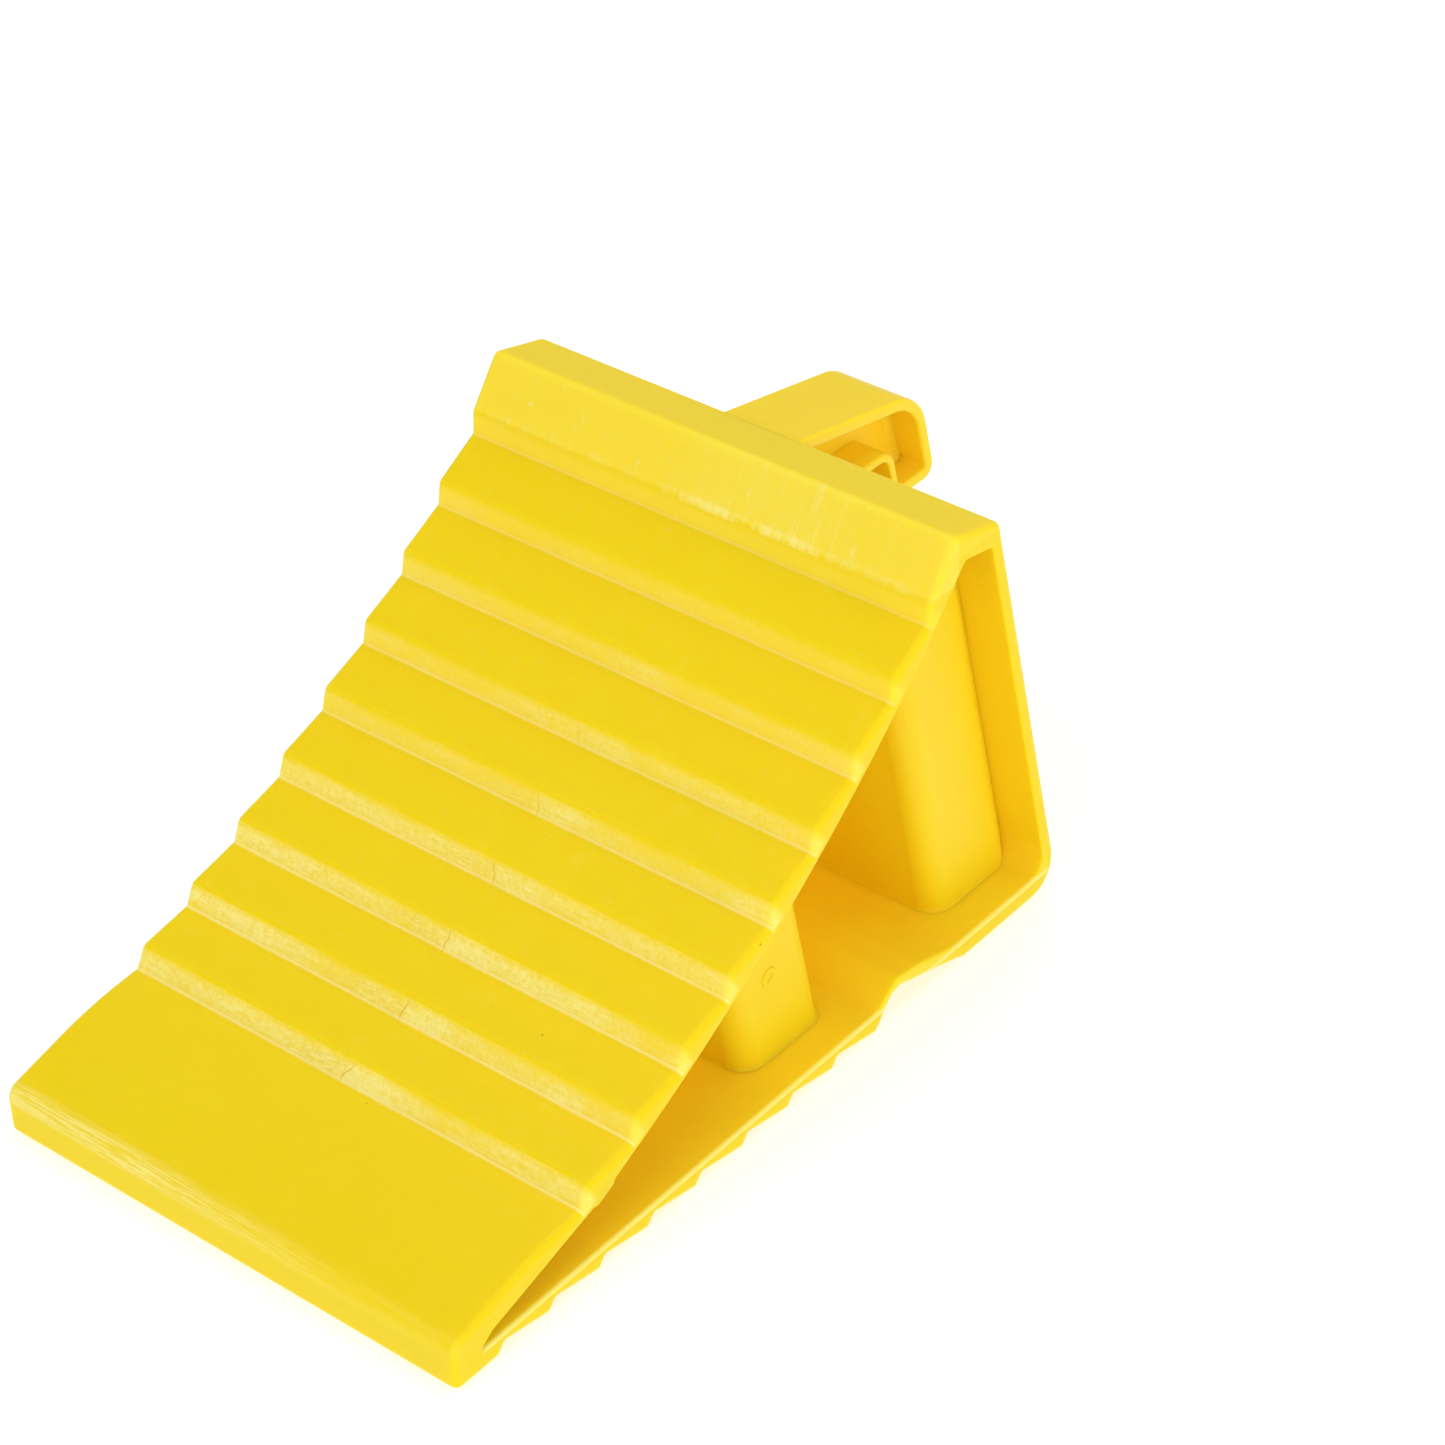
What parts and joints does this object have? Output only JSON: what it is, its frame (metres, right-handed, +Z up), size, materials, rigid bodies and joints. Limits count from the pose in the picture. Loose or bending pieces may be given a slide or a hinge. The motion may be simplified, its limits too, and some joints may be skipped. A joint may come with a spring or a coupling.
{
  "type": "wheel_chock",
  "caption": "One-piece yellow moulded plastic wheel chock with a stepped curved face, grip teeth below, hollow body and a tab handle with a rope eye",
  "frame": {"origin": "bottom centre of the bounding box, on the ground under the middle of the chock", "axes": "+Y runs from the thin toe to the handle, +X to the right seen from the toe, +Z up"},
  "size_m": [0.12, 0.2157, 0.1078],
  "materials": {
    "moulding_skin": "satin translucent polyethylene, paler on the step faces",
    "moulding_core": "same plastic, thicker and deeper orange where the light comes through it"
  },
  "bodies": {
    "root": {"toe_block": "moulding_skin", "tread_ramp": "moulding_skin", "ridge_cap": "moulding_skin", "back_wall": "moulding_skin", "sole_plate": "moulding_skin", "arch_span": "moulding_skin", "heel_pad": "moulding_skin", "front_web": "moulding_core", "rear_web": "moulding_core", "short_pillar": "moulding_core", "tall_pillar": "moulding_core", "gate_stub": "moulding_core", "handle_strap": "moulding_skin", "handle_web": "moulding_core", "rope_eye": "moulding_skin"}
  },
  "joints": []
}
